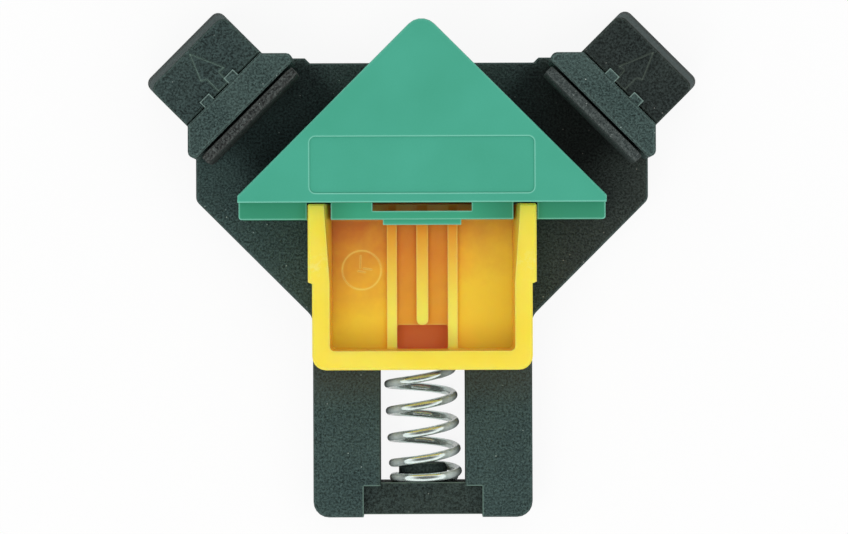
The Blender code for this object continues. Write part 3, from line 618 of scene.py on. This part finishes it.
def add_mould_mark(look):
    """The faint ring and three strokes that the mould's date wheel leaves in the tray."""
    middle = Vector((MARK_X, MARK_Y, TRAY_FLOOR))
    up = Vector((0.0, 0.0, 1.0))
    bm = bmesh.new()
    for i in range(MARK_STEPS):
        angle = FULL_TURN * i / MARK_STEPS
        outward = Vector((math.cos(angle), math.sin(angle), 0.0))
        crest = (0.03 * math.sin(2 * angle + 0.4) - 0.008) * MM
        section = [(-MARK_RING_HALF, -MARK_FOOT), (0.0, crest), (MARK_RING_HALF, -MARK_FOOT)]
        for across, rise in section:
            bm.verts.new(middle + outward * (MARK_RADIUS + across) + up * rise)
    bm.verts.ensure_lookup_table()
    for i in range(MARK_STEPS):
        here = 3 * i
        there = 3 * ((i + 1) % MARK_STEPS)
        for k in range(3):
            ahead = (k + 1) % 3
            corners = (here + k, there + k, there + ahead, here + ahead)
            bm.faces.new([bm.verts[j] for j in corners])
    for ends in MARK_STROKES:
        start, end = (Vector((*point, 0.0)) * MM for point in ends)
        across = (end - start).normalized().cross(up) * MARK_STROKE_HALF
        low = [start - across, start + across, end + across, end - across]
        feet = [bm.verts.new(middle + v - up * MARK_FOOT) for v in low]
        tops = [bm.verts.new(middle + v + up * MARK_STROKE_TOP) for v in (start, end)]
        bm.faces.new((feet[0], feet[1], tops[0]))
        bm.faces.new((feet[1], feet[2], tops[1], tops[0]))
        bm.faces.new((feet[2], feet[3], tops[1]))
        bm.faces.new((feet[3], feet[0], tops[0], tops[1]))
        bm.faces.new(feet)
    made = add_piece("tray_mould_mark", bm, look, "slider")
    made.data.shade_smooth()


def spring_lean(y, rear, front):
    """How far the spring's axis lies to the side at y: straight first, then bent back to 0."""
    if y < LEAN_END:
        return LEAN_REAR + LEAN_SLOPE * (y - rear)
    start = LEAN_REAR + LEAN_SLOPE * (LEAN_END - rear)
    run = front - LEAN_END
    u = min(1.0, (y - LEAN_END) / run)
    return start * (2 * u**3 - 3 * u**2 + 1) + LEAN_SLOPE * run * (u**3 - 2 * u**2 + u)


def spring_rises(climb, steps):
    """The climb read off at equal steps, with its corners rounded."""
    rises = []
    for i in range(steps + 1):
        turn = climb[-1][0] * i / steps
        for (before, low), (after, high) in zip(climb, climb[1:]):
            if turn <= after or after == climb[-1][0]:
                rises.append(low + (high - low) * (turn - before) / (after - before))
                break
    for _ in range(ROUNDING_PASSES):
        reach = ROUNDING_REACH
        near = [rises[max(0, i - reach) : i + reach + 1] for i in range(steps + 1)]
        rises = [sum(part) / len(part) for part in near]
    return rises


def spring_centres(rear, front, axis_z, radius):
    """Points along the middle of the wire, from its rear end."""
    start = CROSSBAR_FRONT + CROSSBAR_CLEARANCE + WIRE / 2
    length = front - WIRE / 2 - start
    open_turn, open_rise = REAR_CLIMB[-1]
    turns = open_turn + (length - CLOSED_RISE - open_rise * MM) / SPRING_PITCH + CLOSED_TURNS
    steps = round(turns * STEPS_PER_TURN)
    climb = [(turn, rise * MM) for turn, rise in REAR_CLIMB]
    climb += [(turns - CLOSED_TURNS, length - CLOSED_RISE), (turns, length)]
    centres = []
    for i, rise in enumerate(spring_rises(climb, steps)):
        turn = turns * i / steps
        y = start + rise
        # The closed end coils stand square, and the open ones lean
        coming = max(0.0, (turn - COIL_LEAN_START) / COIL_LEAN_RAMP)
        going = max(0.0, (turns - COIL_LEAN_STOP - turn) / COIL_LEAN_RAMP)
        lean = min(1.0, coming, going)
        across = Vector((1.0, COIL_TURN * lean, 0.0))
        upright = Vector((0.0, COIL_TILT * lean, 1.0))
        angle = FULL_TURN * (turn + SPRING_START_TURN)
        centres.append(
            Vector((spring_lean(y, rear, front), y, axis_z))
            + across * radius * math.sin(angle)
            + upright * radius * math.cos(angle)
        )
    return centres


def add_spring(look):
    """The compression spring as smooth round wire with plainly cut ends."""
    low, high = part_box("compression_spring")
    rear = low[1]
    front = high[1]
    axis_z = (low[2] + high[2]) / 2
    radius = (high[2] - low[2] - WIRE) / 2
    centres = spring_centres(rear, front, axis_z, radius)
    last = len(centres) - 1
    # Rings of wire as (size, shift ahead), in wire radii
    cut = 1.0 - END_BREAK
    rings_at = {0: [(cut, 0.0), (1.0, END_BREAK)], last: [(1.0, 0.0), (cut, END_BREAK)]}
    bm = bmesh.new()
    rings = []
    for i, centre in enumerate(centres):
        ahead = centres[min(i + 1, last)] - centres[max(i - 1, 0)]
        ahead.normalize()
        outward = centre - Vector((spring_lean(centre.y, rear, front), centre.y, axis_z))
        outward = (outward - ahead * outward.dot(ahead)).normalized()
        beside = ahead.cross(outward)
        for size, shift in rings_at.get(i, [(1.0, 0.0)]):
            middle = centre + ahead * shift * WIRE / 2
            ring = []
            for k in range(WIRE_SIDES):
                angle = FULL_TURN * k / WIRE_SIDES
                spoke = outward * math.cos(angle) + beside * math.sin(angle)
                ring.append(bm.verts.new(middle + spoke * size * WIRE / 2))
            rings.append(ring)
    for near, far in zip(rings, rings[1:]):
        for k in range(WIRE_SIDES):
            bm.faces.new((near[k - 1], near[k], far[k], far[k - 1]))
    bm.faces.new(rings[0])
    bm.faces.new(rings[-1])
    made = add_piece("wound_spring", bm, look, "base")
    made.data.shade_smooth()
    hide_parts("compression_spring")
    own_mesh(made)


def add_floor():
    """A pale paper floor, which the camera and mirrors see as plain white with shadows."""
    paper = Finish("floor_paper", {"Roughness": 0.9, "Specular IOR Level": 0.1})
    paper.colour(paper.mix(paper.noise(30 * MM), (0.86, 0.86, 0.86), (0.9, 0.9, 0.9)))
    glow = paper.add("ShaderNodeEmission", {"Color": WHITE, "Strength": 1.0})
    camera, mirrored = paper.rays()
    seen = paper.most(paper.times(camera, FLOOR_SEEN), paper.times(mirrored, FLOOR_MIRRORED))
    surfaces = {0: seen, 1: paper.shader.outputs["BSDF"], 2: glow.outputs["Emission"]}
    both = paper.add("ShaderNodeMixShader", surfaces)
    paper.put(paper.tree.nodes["Material Output"].inputs["Surface"], both.outputs["Shader"])
    bm = bmesh.new()
    bmesh.ops.create_grid(bm, x_segments=1, y_segments=1, size=FLOOR_HALF)
    floor = link_mesh("floor", bm, paper.material)


def add_world():
    """Soft light from all sides. Gloss sees white that darkens straight above."""
    world = bpy.data.worlds.new("studio")
    bpy.context.scene.world = world
    world.use_nodes = True
    sky = Nodes(world.node_tree)
    plain = sky.tree.nodes["Background"]
    sky.put(plain.inputs["Color"], WHITE)
    sky.put(plain.inputs["Strength"], SKY_LIGHT)
    around = sky.add("ShaderNodeTexCoord").outputs["Generated"]
    height = sky.add("ShaderNodeSeparateXYZ", {"Vector": around}).outputs["Z"]
    shade = sky.spread(height, FADE_FROM, FADE_TO, 1.0, FADE_DARKEST)
    white = sky.add("ShaderNodeBackground", {"Color": shade, "Strength": 1.0})
    backgrounds = {0: sky.most(*sky.rays()), 1: plain.outputs[0], 2: white.outputs[0]}
    both = sky.add("ShaderNodeMixShader", backgrounds)
    sky.put(sky.tree.nodes["World Output"].inputs["Surface"], both.outputs["Shader"])


def add_lamp(name, location, size, power):
    """A round lamp that lights the clamp but is not mirrored in it."""
    data = bpy.data.lights.new(name, "AREA")
    data.shape = "DISK"
    data.size = size
    data.energy = power
    made = bpy.data.objects.new(name, data)
    bpy.context.scene.collection.objects.link(made)
    made.location = location
    made.rotation_euler = (LAMP_AIM - made.location).to_track_quat("-Z", "Y").to_euler()
    made.visible_glossy = False


def add_camera():
    """The camera straight above, at the picture's scale."""
    data = bpy.data.cameras.new("camera")
    data.sensor_width = SENSOR_WIDTH
    width = PICTURE_WIDTH * MM_PER_PIXEL * MM
    data.lens = SENSOR_WIDTH * (CAMERA_HEIGHT - SCALE_HEIGHT) / width
    data.clip_start = 0.05
    camera = bpy.data.objects.new("camera", data)
    bpy.context.scene.collection.objects.link(camera)
    camera.location = (CAMERA_X, CAMERA_Y, CAMERA_HEIGHT)
    camera.rotation_euler.z = CAMERA_TURN
    bpy.context.scene.camera = camera
    bpy.context.scene.view_settings.view_transform = "Standard"


dark = base_plastic()
jaw = grained_plastic(
    "jaw_plastic", linear(49, 63, 61), linear(132, 156, 148), linear(180, 194, 188), 0.8
).material
# The look of each CAD node that is shown, and the width of its softened edges
looks = {
    "base_frame": (dark, 0.18 * MM),
    "jaw_plate_left": (jaw, 0.15 * MM),
    "jaw_plate_right": (jaw, 0.15 * MM),
    "corner_block": (mint_plastic(), 0.15 * MM),
    "finger_slider": (yellow_plastic("yellow_plastic", 0.35, 0.7), 0.2 * MM),
}
for node, (look, edge) in looks.items():
    nodes[node].data.materials.clear()
    nodes[node].data.materials.append(look)
    soften(nodes[node], edge)
rubber = pad_rubber()
for hand in ("left", "right"):
    add_pad(hand, rubber)
    add_arrow(hand, dark)
# Too thin to glow like the tray, so it is toned down instead
add_mould_mark(yellow_plastic("yellow_relief", 0.0, 0.0, linear(206, 162, 104)))
add_spring(spring_steel())
add_floor()
add_world()
for name, (location, size, power) in LAMPS.items():
    add_lamp(name, location, size, power)
add_camera()
